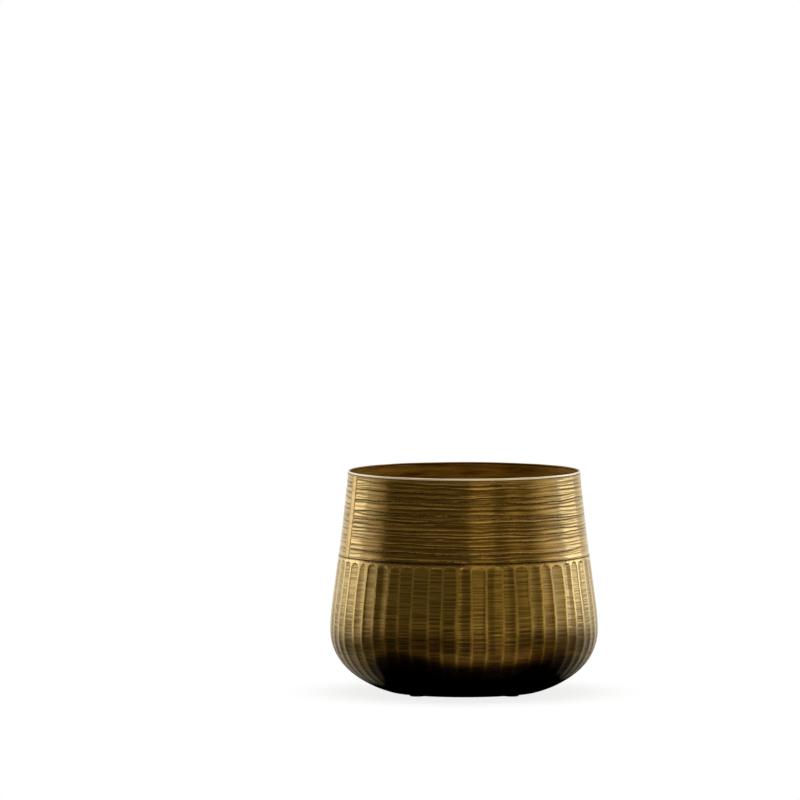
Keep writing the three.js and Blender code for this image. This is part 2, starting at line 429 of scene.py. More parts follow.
# Scales of the patterns: clouds of ageing 30 mm by 3 mm, grains of patina of about 1 mm, rubbed lines
# 0.5 mm apart and 20 mm long, a ragged edge every 8 mm, mottling of 6 mm, scratches of 0.7 mm and the
# rubber's grains of 0.4 mm
CLOUDS = (33, 33, 320)
GRAIN = 900.0
RUBBED_LINES = (0.5, 2000.0, 1.0)
RAGGED_EDGE = 120.0
MOTTLING = 160.0
SCRATCHES = 1500.0
RUBBER_GRAIN = 2500.0
RUBBED_LINE_DEPTH = 0.012 * MM
SCRATCH_DEPTH = 0.008 * MM
RUBBER_GRAIN_DEPTH = 0.03 * MM
# The scraper's marks: how much each flute's pattern is shifted, and its scale up and round the pot
MARK_SCALES = (90.0, 760.0, 0.35)
MARK_DEPTH = 0.2 * MM


def worked_brass(name, fluted=False):
    """Antiqued sheet brass, rubbed bright on its high places, with brown patina left in the cuts.

    On the bowl a painted dark reflection makes it nearly black round the base, with a band of painted
    orange reflection above it. Painted shade darkens the front, and the edges under the rim wire and
    in the laps. Rubbing round the pot leaves fine level lines that draw each reflection out upwards
    and keep it crisp sideways. The inside keeps a dull brown film.
    """
    colours = bpy.context.scene.pot_colours
    material, add, place = new_material(name)
    uv_map = add("ShaderNodeUVMap", uv_map=UV_MAP)
    uv = add("ShaderNodeSeparateXYZ", uv_map).outputs
    # The attribute called rubbed holds the band of painted orange reflection over the base
    patina, aged, inside, rubbed = (add("ShaderNodeAttribute", attribute_name=key).outputs["Fac"]
                                    for key in ("patina", "aged", "inside", "rubbed"))

    # Cloudy ageing, stretched round the pot, added to the stored ageing and painted shade
    cloud_at = add("ShaderNodeMapping", place, {"Scale": CLOUDS})
    cloud = add("ShaderNodeTexNoise", {"Vector": cloud_at, "Scale": 1.0, "Detail": 3.0})
    clouded = add("ShaderNodeMapRange", cloud, 0.4, 0.7)
    dull = add("ShaderNodeMath", clouded, 0.35, aged, operation="MULTIPLY_ADD", use_clamp=True)
    if fluted:
        floor = flute_floor(add, uv["X"])
        dull = add("ShaderNodeMath", floor, dull, operation="MAXIMUM")
    dull_colour = colours.aged if fluted else colours.aged_collar
    clean = add("ShaderNodeMix", dull, {6: colours.brass, 7: dull_colour}, data_type="RGBA")
    film = add("ShaderNodeMix", clouded, {6: colours.film, 7: colours.film_dark}, data_type="RGBA")
    clean = add("ShaderNodeMix", inside, {6: clean, 7: film}, data_type="RGBA")

    # Patina in the cuts, broken up a little as it was rubbed back, with painted shade under the rim wire, in
    # the laps and at the flutes' tops
    grain = add("ShaderNodeTexNoise", {"Vector": place, "Scale": GRAIN, "Detail": 2.0})
    broken = add("ShaderNodeMapRange", grain, 0.3, 0.7, 0.75, 1.4)
    stain_and_shade = add("ShaderNodeMath", patina, broken, operation="MULTIPLY", use_clamp=True)
    colour = add("ShaderNodeMix", stain_and_shade, {6: clean, 7: colours.cuts}, data_type="RGBA")
    rough = add("ShaderNodeMapRange", stain_and_shade, 0.0, 1.0, 0.13, 0.3)
    rough = add("ShaderNodeMath", inside, 0.3, rough, operation="MULTIPLY_ADD")
    metal = add("ShaderNodeMapRange", inside, 0.0, 1.0, 1.0, 0.3)

    # Fine rubbed lines, drawn coarse enough to show
    rub_at = add("ShaderNodeMapping", uv_map, {"Scale": RUBBED_LINES})
    rub = add("ShaderNodeTexNoise", {"Vector": rub_at, "Scale": 1.0, "Detail": 2.0})
    streak = add("ShaderNodeMapRange", rub, 0.3, 0.7, 0.82, 1.0)
    colour = add("ShaderNodeMix", 1.0, {6: colour, 7: streak}, data_type="RGBA", blend_type="MULTIPLY")
    bump = add("ShaderNodeBump", {"Height": rub, "Distance": RUBBED_LINE_DEPTH})
    if fluted:
        colour, bump = chatter(add, uv, floor, colour, bump)
        # Painted dark reflection round the base of the bowl, darker towards the bottom, with a band of
        # painted orange reflection over it
        level = painted_reflection_level(add, place)
        share = add("ShaderNodeMapRange", level, PAINTED_REFLECTION_BANDS[0][0] * MM, PAINTED_REFLECTION_BANDS[-1][0] * MM)
        bands = add("ShaderNodeValToRGB", share)
        set_ramp(bands, [(height, hex_colour(tone)) for height, tone in PAINTED_REFLECTION_BANDS])
        rubbed = add("ShaderNodeMath", rubbed, ORANGE_REFLECTION_SHARE, operation="MULTIPLY")
        bands = add("ShaderNodeMix", rubbed, {6: bands, 7: colours.rubbed}, data_type="RGBA")
        colour = add("ShaderNodeMix", 1.0, {6: colour, 7: bands}, data_type="RGBA", blend_type="MULTIPLY")
        # The brass turns matt under the painted dark reflection
        shining = add("ShaderNodeMapRange", level, MATT_BASE_HEIGHTS[0], MATT_BASE_HEIGHTS[1])
        metal = add("ShaderNodeMath", metal, shining, operation="MULTIPLY")
    tangent = add("ShaderNodeTangent", direction_type="UV_MAP", uv_map=UV_MAP)
    surface = add("ShaderNodeBsdfPrincipled",
                  {"Base Color": colour, "Metallic": metal, "Roughness": rough, "Specular IOR Level": 0.0,
                   "Specular Tint": BRASS_TINT, "Anisotropic": 0.4, "Anisotropic Rotation": 0.25,
                   "Normal": bump, "Tangent": tangent})
    add("ShaderNodeOutputMaterial", surface)
    return material


def flute_floor(add, u):
    """1 on the floor of a flute, 0 on the ridges between."""
    across = add("ShaderNodeMath", u, operation="FRACT")
    side = add("ShaderNodeMath", across, 0.5, operation="SUBTRACT")
    side = add("ShaderNodeMath", side, operation="ABSOLUTE")
    foot = 0.5 - RIDGE_SHARE / 2
    return add("ShaderNodeMapRange", side, foot - 0.03, foot + 0.02, 1.0, 0.0,
               interpolation_type="SMOOTHSTEP")


def painted_reflection_level(add, place):
    """Height over the table, as the painted dark reflection of the base sees it. Its edge is uneven by 2 mm
    or so.
    """
    height = add("ShaderNodeSeparateXYZ", place).outputs["Z"]
    ragged = add("ShaderNodeTexNoise", {"Vector": place, "Scale": RAGGED_EDGE, "Detail": 3.0})
    offset = add("ShaderNodeMath", ragged, 4 * MM, -2 * MM, operation="MULTIPLY_ADD")
    rise = add("ShaderNodeAttribute", attribute_name="patina_rise").outputs["Fac"]
    level = add("ShaderNodeMath", height, offset, operation="ADD")
    return add("ShaderNodeMath", level, rise, operation="SUBTRACT")


def chatter(add, uv, floor, clean, bump_under):
    """Finer level marks of the scraper, about 2 mm apart, that hold some dirt and differ by flute."""
    flute = add("ShaderNodeMath", uv["X"], operation="FLOOR")
    start = add("ShaderNodeTexWhiteNoise", {"W": flute}, noise_dimensions="1D")
    parts = [add("ShaderNodeMath", value, scale, operation="MULTIPLY")
             for value, scale in zip((start, uv["Y"], uv["X"]), MARK_SCALES)]
    mark_at = add("ShaderNodeCombineXYZ", *parts)
    mark = add("ShaderNodeTexNoise", {"Vector": mark_at, "Scale": 1.0, "Detail": 1.0})
    height = add("ShaderNodeMath", mark, floor, operation="MULTIPLY")
    bump = add("ShaderNodeBump", {"Height": height, "Distance": MARK_DEPTH, "Normal": bump_under})
    dirt = add("ShaderNodeMapRange", mark, 0.4, 0.56, 0.36, 0.0)
    dirt = add("ShaderNodeMath", dirt, floor, operation="MULTIPLY")
    cuts = bpy.context.scene.pot_colours.cuts
    return add("ShaderNodeMix", dirt, {6: clean, 7: cuts}, data_type="RGBA"), bump


def darker(colour, share):
    """The same colour at a share of its brightness."""
    return (*(channel * share for channel in colour[:3]), 1.0)


def plain_metal(name, colour, roughness):
    """Brass sheet or wire with faint mottling in its colour and polish, browner inside the pot."""
    material, add, place = new_material(name)
    cloud = add("ShaderNodeTexNoise", {"Vector": place, "Scale": MOTTLING, "Detail": 4.0})
    mixed = add("ShaderNodeMix", cloud, {6: colour, 7: darker(colour, 0.7)}, data_type="RGBA")
    inside = add("ShaderNodeAttribute", attribute_name="inside").outputs["Fac"]
    film = bpy.context.scene.pot_colours.film_dark
    mixed = add("ShaderNodeMix", inside, {6: mixed, 7: film}, data_type="RGBA")
    rough = add("ShaderNodeMapRange", cloud, 0.0, 1.0, roughness - 0.06, roughness + 0.08)
    scratch = add("ShaderNodeTexNoise", {"Vector": place, "Scale": SCRATCHES, "Detail": 2.0})
    bump = add("ShaderNodeBump", {"Height": scratch, "Distance": SCRATCH_DEPTH})
    surface = add("ShaderNodeBsdfPrincipled", {"Base Color": mixed, "Metallic": 1.0, "Roughness": rough,
                                               "Specular IOR Level": 0.2, "Normal": bump})
    add("ShaderNodeOutputMaterial", surface)
    return material


def moulded_rubber():
    """Moulded rubber of the foot pads: matt, nearly black, with a fine grain."""
    material, add, place = new_material("moulded_rubber")
    grain = add("ShaderNodeTexNoise", {"Vector": place, "Scale": RUBBER_GRAIN, "Detail": 3.0})
    colour = bpy.context.scene.pot_colours.rubber
    mixed = add("ShaderNodeMix", grain, {6: colour, 7: darker(colour, 0.6)}, data_type="RGBA")
    bump = add("ShaderNodeBump", {"Height": grain, "Distance": RUBBER_GRAIN_DEPTH})
    surface = add("ShaderNodeBsdfPrincipled", {"Base Color": mixed, "Roughness": 0.8, "Normal": bump})
    add("ShaderNodeOutputMaterial", surface)
    return material


# Where the pot gets painted shade and painted reflections

# How much higher, in millimetres, the painted dark reflection of the base reaches at each angle from the
# front. It is lowest at the two sides, where the pot reflects the bright sides of the room.
PAINTED_REFLECTION_REACH = ((-180, -3), (-150, -1), (-128, 4), (-105, -3), (-85, -6.5), (-55, -6.5), (-47, -3.5),
                (-41, 2), (-36, 6), (-28, 6), (-21, 4.5), (-14, 2), (-6, -2.2), (14, -3.7), (22, -3),
                (28, 1), (33, 6), (40, 6), (46, 4), (53, 1.5), (61, -1.5), (85, -5.5), (108, -2),
                (130, 4), (155, 0), (180, -3))
# Heights between which a reach upwards dies out
REACH_ENDS = (36 * MM, 45 * MM)
# How much lower the painted dark reflection lies at the foot of the two sides, and where that ends and is
# full
SIDE_FADE = 6 * MM
SIDE_FADE_ENDS = (30 * MM, 12 * MM)
# Where the sides begin and where they are full, as the sine of the angle from the front
SIDES = (0.55, 0.8)
# The front is given more painted shade than the sides: its middle, half its width and its soft edge in
# degrees
FRONT_MIDDLE = -6
FRONT_HALF_WIDTH = 46
FRONT_EDGE = 12
# A level band in front with a painted orange reflection over the dark base: its middle and half its
# width in degrees, its height and half its breadth
ORANGE_REFLECTION_ANGLE = 14
ORANGE_REFLECTION_SPREAD = 24
ORANGE_REFLECTION_HEIGHT = 34 * MM
ORANGE_REFLECTION_BAND = 4 * MM


def in_degrees(angle):
    """The angle in degrees, between -180 and 180."""
    return (np.degrees(angle) + 180) % 360 - 180


def painted_shade_front(angle):
    """1 over the front of the pot, which gets more painted shade than its sides, and 0 elsewhere."""
    return smooth_step((FRONT_HALF_WIDTH - np.abs(in_degrees(angle) - FRONT_MIDDLE)) / FRONT_EDGE)


def painted_reflection_reach(angle, z):
    """How much higher the painted dark reflection of the base reaches, and where a level band of painted
    orange reflection lies over it.
    """
    turned = in_degrees(angle)
    degrees, reach = np.array(PAINTED_REFLECTION_REACH).T
    rise = np.interp(turned, degrees, reach) * MM
    rise = np.where(rise > 0, rise * (1 - smooth_step(share_between(z, *REACH_ENDS))), rise)
    sides = smooth_step(share_between(np.abs(np.sin(angle)), *SIDES))
    rise = rise - SIDE_FADE * sides * smooth_step(share_between(z, *SIDE_FADE_ENDS))
    sideways = ((turned - ORANGE_REFLECTION_ANGLE) / ORANGE_REFLECTION_SPREAD) ** 4
    return rise, np.exp(-sideways) * hump(z - ORANGE_REFLECTION_HEIGHT, ORANGE_REFLECTION_BAND)


# Collar

COLLAR_COLUMNS = 360
COLLAR_ROWS = 200
COLLAR_INNER_ROWS = 24
PLAIN_EDGE_OF_COLLAR = 1.3 * MM
# How far the collar reaches up under the rim's wire, where solder joins them
UNDER_THE_WIRE = 0.25 * MM
# How far the grooves press through to the inside, as a share of their depth
PRESSED_THROUGH = 0.25
# How much the gaps between the grooves vary, how strong a groove is cut, and how much of it is left
# where it fades most
GROOVE_GAPS = (0.6, 1.45)
GROOVE_STRENGTHS = (0.5, 1.0)
GROOVE_LEAST = 0.35
# The light grooves between them
SCRATCH_WIDTHS = (0.8 * MM, 1.4 * MM)
SCRATCH_STRENGTHS = (0.3, 0.6)
WIDEST_GROOVE = 3.2 * MM
# Shares of a groove's width that its face and its wall take, where the nose starts on the face, and
# how far the nose turns back in, as a share of the groove's depth
FACE_SHARE = 0.8
WALL_SHARE = 0.24
NOSE_START = 0.68
NOSE_DROP = 0.26
# How much closer together the columns stand beside the strip, to hold the ends of the grooves
CROWDING = 0.7


class POT_OT_collar(bpy.types.Operator):
    """Turn the collar's sheet and cut its level grooves"""

    bl_idname = "plant_pot.collar"
    bl_label = "Collar"

    def execute(self, context):
        sizes = context.scene.pot_sizes
        low, high = COLLAR_FOOT, COLLAR_HIGH.z + UNDER_THE_WIRE
        profile = wall(low, high, COLLAR_ROWS) + wall(high, low, COLLAR_INNER_ROWS, sizes.sheet)
        piece = turn_profile("collar_sheet", profile, COLLAR_COLUMNS)

        points = points_of(piece)
        outside = rows_of(points, profile) < COLLAR_ROWS
        angle, radius = around(points)
        angle = angle - CROWDING * np.sin(angle - STRIP_ANGLE)
        depth, patina, aged = groove_field(sizes, angle, points[:, 2], low, high)
        set_points(piece, angle, radius - np.where(outside, depth, -PRESSED_THROUGH * depth), points[:, 2])
        set_attributes(piece, patina=np.where(outside, patina, 0), aged=np.where(outside, aged, 0),
                       inside=~outside)
        set_uv(piece, share_round(angle) * FLUTE_COUNT, points[:, 2])
        finish_piece(piece, worked_brass("antique_brass_grooved"), "collar")
        return {"FINISHED"}


def groove_field(sizes, angle, z, low, high):
    """Depth of the cuts, strength of the patina and painted shade, and how dull the brass is from ageing and
    painted shade, at each place of the collar.

    A groove is a long face that leans up to its rounded nose, and a short wall that overhangs it. Each
    wanders, fades and deepens as it goes round, starts and ends at the strip, and doesn't line up
    across it.
    """
    rng = random.Random(11)
    share = share_round(angle - STRIP_ANGLE)
    first, last = low + PLAIN_EDGE_OF_COLLAR, high - PLAIN_EDGE_OF_COLLAR
    gaps = [rng.uniform(*GROOVE_GAPS) for _ in range(sizes.grooves + 1)]
    middle = first
    cuts = []
    for gap in gaps[:-1]:
        width = gap * (last - first) / sum(gaps)
        middle += width
        cuts.append((middle, width, rng.uniform(*GROOVE_STRENGTHS), GROOVE_LEAST))
    for _ in range(sizes.scratches):
        middle = rng.uniform(first, last)
        cuts.append((middle, rng.uniform(*SCRATCH_WIDTHS), rng.uniform(*SCRATCH_STRENGTHS), 0))
    depth = np.zeros_like(z)
    patina = np.zeros_like(z)
    together = smooth_line(rng, 21, share)
    for middle, width, strength, least in cuts:
        wander = 0.5 * together + 0.7 * smooth_line(rng, 19, share) + 0.3 * smooth_line(rng, 57, share)
        line = middle + sizes.groove_wander * wander
        fade = np.clip(0.85 + 0.55 * smooth_line(rng, 11, share), least, 1)
        x = (z - line) / min(width, WIDEST_GROOVE)
        down = np.clip(-x / FACE_SHARE, 0, 1)
        face = np.clip(1 - down / NOSE_START, 0, 1) ** 1.3
        nose = NOSE_DROP * np.clip((down - NOSE_START) / (1 - NOSE_START), 0, 1) ** 2
        overhang = NOSE_DROP + (1 - NOSE_DROP) * (1 - x / WALL_SHARE)
        section = np.where(x < 0, face + nose, overhang) * ((x > -FACE_SHARE) & (x < WALL_SHARE))
        depth = np.maximum(depth, sizes.groove_depth * strength * fade * section)
        spread = (0.7 if least else 0.45) * MM
        stain = hump(z - line - 0.15 * MM, spread)
        patina = np.maximum(patina, np.clip(1.15 * strength * fade, 0, 1) * stain)
    low_place = smooth_step(depth / (0.45 * sizes.groove_depth))
    patina = np.maximum(patina, 0.1 * low_place)
    # Ageing in the low places, and painted shade over the front of the collar
    aged = 0.24 + 0.3 * low_place + 0.45 * painted_shade_front(angle)
    from_strip = np.minimum(share, 1 - share) * FULL_TURN * MOUTH_RADIUS - sizes.strip_width / 2
    clear = smooth_step(from_strip / (1.2 * MM))
    edges = smooth_step(np.minimum(z - low, high - z) / PLAIN_EDGE_OF_COLLAR)
    # Painted shade under the rim wire, and along the collar's foot where it laps over the bowl
    shade_at_edges = 0.9 * hump(z - low, 0.6 * MM) + 0.6 * hump(high - z, 1.7 * MM)
    up = share_between(z, low, high)
    billows = 0.5 + 0.5 * billow(rng, 40, 14, up, share) + 0.35 * billow(rng, 26, 70, up, share)
    depth = (depth + sizes.billow_depth * billows) * clear * edges
    return depth, np.maximum(patina * clear * edges, shade_at_edges), aged


# Bowl

# Rows up the bowl: under its dark foot, up to the belly, over the ripples, over them and round the tops
FOOT_ROWS = 15
UNDER_BELLY_ROWS = 52
RIPPLED_ROWS = 61
PLAINER_ROWS = 20
TOP_ROWS = 18
LAND_ROWS = 8
INNER_ROWS = 8
FOOT_SHARE = 0.7
RIPPLED_TO = 80 * MM
RIPPLE_FADE = 26 * MM
PLAIN_BAND = 1.9 * MM
ROUND_TOP = 4.6 * MM
LAP = 8 * MM
SEAT = 0.3 * MM
# Places of the points across a ridge, as shares of its width
RIDGE_POINTS = (-0.5, -0.28, 0.0, 0.28, 0.5)
FLOOR_POINTS = 4
FLUTE_COLUMNS = len(RIDGE_POINTS) + FLOOR_POINTS
RIDGE_DROP = 0.1 * MM
# Longer than any flute, so that all of its length falls inside the tables that vary along it
FLUTE_LENGTH = 140 * MM


class POT_OT_bowl(bpy.types.Operator):
    """Turn the bowl's sheet and press its upright flutes"""

    bl_idname = "plant_pot.bowl"
    bl_label = "Bowl"

    def execute(self, context):
        sizes = context.scene.pot_sizes
        shoulder = COLLAR_FOOT - SEAT
        flute_top = shoulder - PLAIN_BAND
        outer, profile = bowl_profile(sizes.sheet, shoulder, flute_top)
        piece = turn_profile("bowl_sheet", profile, FLUTE_COUNT * FLUTE_COLUMNS)

        points = points_of(piece)
        row = rows_of(points, profile)
        outside = row < len(outer)
        angle, radius = around(points)
        z = points[:, 2]
        along = arc_lengths(profile)[row]
        new_angle, depth, across, cuts = flute_field(sizes, angle, radius, z, along, flute_top)
        new_angle = np.where(outside, new_angle, angle)
        set_points(piece, new_angle, radius - np.where(outside, depth, 0), z)
        # Painted shade on the bowl just under the collar's lap, of uneven reach
        reach = (1.1 + 0.6 * smooth_line(random.Random(3), 31, share_round(angle))) * MM
        shade_under_collar = 0.9 * hump(shoulder - z, reach)
        # How high the painted dark reflection of the base rises, and where the band of painted orange
        # reflection lies
        rise, rubbed = painted_reflection_reach(new_angle, z)
        # The patina, the painted shade and the painted reflections are on the outside alone
        set_attributes(piece, patina=np.where(outside, np.maximum(cuts, shade_under_collar), 0), inside=~outside,
                       patina_rise=np.where(outside, rise, -HEIGHT), aged=0.5 * painted_shade_front(new_angle),
                       rubbed=rubbed)
        set_uv(piece, np.where(outside, across, share_round(angle) * FLUTE_COUNT), along)
        finish_piece(piece, worked_brass("antique_brass_fluted", fluted=True), "bowl")
        return {"FINISHED"}


def bowl_profile(sheet, shoulder, flute_top):
    """The outside's part of the bowl's closed profile, and the whole of it."""
    top_start = flute_top - ROUND_TOP
    foot = [bezier(UNDER_BELLY, t) for t in evenly(0, FOOT_SHARE, FOOT_ROWS)]
    under = [bezier(UNDER_BELLY, t) for t in evenly(FOOT_SHARE, 1, UNDER_BELLY_ROWS)[1:]]
    stretches = ((BELLY_HEIGHT, RIPPLED_TO, RIPPLED_ROWS), (RIPPLED_TO, top_start, PLAINER_ROWS),
                 (top_start, flute_top, TOP_ROWS), (flute_top, shoulder, LAND_ROWS))
    over = [point for stretch in stretches for point in wall(*stretch)[1:]]
    outer = [(BASE_OPENING, PAD_HEIGHT), *foot, *under, *over]
    lip_top = shoulder + LAP
    lip = wall(shoulder, lip_top, 2, sheet + SEAT) + wall(lip_top, shoulder, 2, 2 * sheet + SEAT)
    inner = wall(shoulder - 3 * MM, BELLY_HEIGHT, INNER_ROWS, sheet)
    for i in range(1, INNER_ROWS):
        t = 1 - i / INNER_ROWS
        radius, z = bezier(UNDER_BELLY, t)
        ahead = bezier(UNDER_BELLY, t + 1e-3)
        along = Vector((ahead[0] - radius, ahead[1] - z)).normalized()
        inner.append((radius - along.y * sheet, z + along.x * sheet))
    inner += [(BASE_RADIUS, PAD_HEIGHT + sheet), (BASE_OPENING, PAD_HEIGHT + sheet)]
    return outer, outer + lip + inner


def arc_lengths(profile):
    """Distance along the profile to each of its points."""
    line = np.array(profile)
    steps = np.hypot(*(line[1:] - line[:-1]).T)
    return np.concatenate([[0], np.cumsum(steps)])


def from_table(table, flute, share):
    """Reads a table that has a row for each flute, at a share of the way along its row."""
    knot, on = knot_before(table.shape[1], share)
    return table[flute % FLUTE_COUNT, knot] * (1 - on) + table[flute % FLUTE_COUNT, knot + 1] * on


def flute_field(sizes, angle, radius, z, along, flute_top):
    """New angle of each point, how deep it lies, its place across its flute, and the patina and painted shade
    on it.

    The points come in sets of one ridge and the hollow to its right. Hollows are shallow troughs
    with a scraper's ripples across them, ridges are narrow rounded noses that waver a little, and
    each flute ends in a hand-cut top, some round and some squarer.
    """
    rng = random.Random(5)
    columns = FLUTE_COUNT * FLUTE_COLUMNS
    pitch = FULL_TURN / FLUTE_COUNT
    column = np.rint(angle / FULL_TURN * columns).astype(int) % columns
    flute, corner = column // FLUTE_COLUMNS, column % FLUTE_COLUMNS

    def each(draw):
        """One draw for each flute."""
        return np.array([draw() for _ in range(FLUTE_COUNT)])

    steps = np.linspace(0, 1, 400)
    tops = each(lambda: rng.uniform(-0.6, 0.6) * MM)
    square = each(lambda: rng.uniform(1.7, 2.7))
    deep = each(lambda: rng.uniform(0.8, 1.15))
    tilt = each(lambda: math.radians(rng.uniform(-1.2, 1.2)))
    lean = each(lambda: 0.08 * rng.uniform(-1, 1) + 0.05 * smooth_line(rng, 6, steps))
    ripples = each(lambda: steps * rng.uniform(31, 42) + 0.8 * smooth_line(rng, 20, steps))
    strength = each(lambda: 0.75 + 0.45 * smooth_line(rng, 14, steps))

    def ridge_angle(k):
        return (k + 0.5 + from_table(lean, k, z / flute_top)) * pitch

    def half_open(k):
        """Half of the angle that a flute's hollow takes where it is fully open."""
        return (ridge_angle(k + 1) - ridge_angle(k)) / 2 - half_ridge

    def half_floor(k):
        """Half of the angle that it takes at each height. It closes to nothing at its top."""
        risen = np.clip((z - (flute_top - ROUND_TOP + tops[k % FLUTE_COUNT])) / (ROUND_TOP * 0.97), 0, 1)
        power = square[k % FLUTE_COUNT]
        return half_open(k) * np.maximum((1 - risen**power) ** (1 / power), 0.02)

    half_ridge = sizes.ridge / 2 / np.maximum(radius, BASE_OPENING)
    middle = (ridge_angle(flute) + ridge_angle(flute + 1)) / 2
    half = half_floor(flute)
    ridge_left = (ridge_angle(flute - 1) + ridge_angle(flute)) / 2 + half_floor(flute - 1)
    ridge_right = middle - half

    on_ridge = corner < len(RIDGE_POINTS)
    spread = np.array(RIDGE_POINTS)[np.minimum(corner, len(RIDGE_POINTS) - 1)]
    step = (corner - len(RIDGE_POINTS) + 1) / (FLOOR_POINTS + 1)
    across_ridge = ridge_left + (ridge_right - ridge_left) * (spread + 0.5)
    place = np.where(on_ridge, across_ridge, ridge_right + 2 * half * step)
    across = flute + np.where(on_ridge, spread * RIDGE_SHARE, RIDGE_SHARE / 2 + (1 - RIDGE_SHARE) * step)

    end = smooth_step((flute_top + tops[flute] - z) / (1.4 * MM))
    cut = end * smooth_step((z - 2 * MM) / (3 * MM))
    hollow = RIDGE_DROP + (sizes.flute_depth * deep[flute] - RIDGE_DROP) * (1 - (2 * step - 1) ** 2)
    hollow = hollow + radius * (place - middle) * np.tan(tilt[flute])
    length = along / FLUTE_LENGTH
    wave = from_table(ripples, flute, length) % 1
    scallop = 4 * wave * (1 - wave)
    rippled = from_table(strength, flute, length) * smooth_step((RIPPLED_TO - z) / RIPPLE_FADE) * ~on_ridge
    hollow = hollow + sizes.ripple_depth * rippled * scallop
    depth = np.where(on_ridge, RIDGE_DROP * (2 * spread) ** 2, hollow) * cut
    # Patina lies in the ripples, and painted shade where a flute's floor runs out at its top
    shade_at_top = 3.6 * end * (1 - end) * (half / half_open(flute)) ** 0.15 * ~on_ridge
    return place, depth, across % FLUTE_COUNT, 0.5 * rippled * np.sqrt(scallop) * cut + shade_at_top


# Strip, rim, base and feet

# Radius of the strip's edges. It is soldered down by as much, so that the edges die into the collar
STRIP_EDGE = 0.37 * MM
STRIP_ROWS = 60
STRIP_COLUMNS = 10
# How much the strip rises along its middle, and how far it strays sideways
STRIP_CROWN = 0.12 * MM
STRIP_STRAY = 0.35 * MM
# How far the wire dips and sways, from hand work
WIRE_DIP = 0.12 * MM
WIRE_SWAY = 0.1 * MM
# Rings that the spinning tool left on the disc: their number, spacing and depth
DISC_RINGS = 12
DISC_RING_STEP = 4 * MM
DISC_RING_DEPTH = 0.12 * MM


class POT_OT_seam_strip(bpy.types.Operator):
    """Bend the plain strip that covers the collar's joint"""

    bl_idname = "plant_pot.seam_strip"
    bl_label = "Seam strip"

    def execute(self, context):
        sizes = context.scene.pot_sizes
        low, high = COLLAR_FOOT, COLLAR_HIGH.z
        half_width, thickness = sizes.strip_width / 2, sizes.strip_thickness
        deselect_all()
        bpy.ops.mesh.primitive_cube_add(size=1, location=(0, 0, (low + high) / 2),
                                        scale=(sizes.strip_width, thickness, high - low))
        piece = new_piece("seam_strip_bent")
        bpy.ops.object.mode_set(mode="EDIT")
        level_cuts = [(0, 0, z) for z in evenly(low, high, STRIP_ROWS + 1)[1:-1]]
        upright_cuts = [(x, 0, 0) for x in evenly(-half_width, half_width, STRIP_COLUMNS + 1)[1:-1]]
        for cuts, direction in ((level_cuts, (0, 0, 1)), (upright_cuts, (1, 0, 0))):
            for cut in cuts:
                bpy.ops.mesh.select_all(action="SELECT")
                bpy.ops.mesh.bisect(plane_co=cut, plane_no=direction)
        bpy.ops.object.mode_set(mode="OBJECT")
        apply_modifier(piece, "BEVEL", width=STRIP_EDGE, segments=4, angle_limit=BEVEL_ANGLE)

        points = points_of(piece)
        side, out, z = points[:, 0], -points[:, 1], points[:, 2]
        stray = STRIP_STRAY * smooth_line(random.Random(3), 6, share_between(z, low, high))
        crown = STRIP_CROWN * (1 - (2 * side / sizes.strip_width) ** 2)
        radius = np.array([wall_radius(h) for h in z]) + thickness / 2 - STRIP_EDGE + out
        radius = radius + np.where(out > 0, crown - STRIP_CROWN, 0)
        angle = STRIP_ANGLE + (side + stray) / radius
        set_points(piece, angle, radius, z)
        set_attributes(piece, aged=np.full(len(points), 0.75))
        set_uv(piece, share_round(angle) * FLUTE_COUNT, z)
        finish_piece(piece, worked_brass("antique_brass_strip"), "seam_strip")
        return {"FINISHED"}


class POT_OT_rim(bpy.types.Operator):
    """Lay the wire round the mouth"""

    bl_idname = "plant_pot.rim"
    bl_label = "Rim wire"

    def execute(self, context):
        half = (WIRE_HIGH.z - WIRE_LOW.z) / 2
        deselect_all()
        bpy.ops.mesh.primitive_torus_add(major_radius=WIRE_HIGH.x - half, minor_radius=half,
                                         major_segments=288, minor_segments=24,
                                         location=(0, 0, WIRE_HIGH.z - half))
        piece = new_piece("rim_wire_painted_highlight")
        rng = random.Random(8)
        points = points_of(piece)
        angle, radius = around(points)
        share = share_round(angle)
        ends = smooth_step(np.minimum(share, 1 - share) * 30)
        dip = WIRE_DIP * smooth_line(rng, 40, share) * ends
        sway = WIRE_SWAY * smooth_line(rng, 30, share) * ends
        set_points(piece, angle, radius + sway, points[:, 2] + np.minimum(dip, 0))
        set_attributes(piece, inside=smooth_step((WIRE_HIGH.x - half - radius) / half / 0.4))
        # The wire's near-white colour is a painted highlight along the rim
        material = plain_metal("brass_wire_painted_highlight", context.scene.pot_colours.wire, 0.34)
        finish_piece(piece, material, "rim_wire")
        return {"FINISHED"}


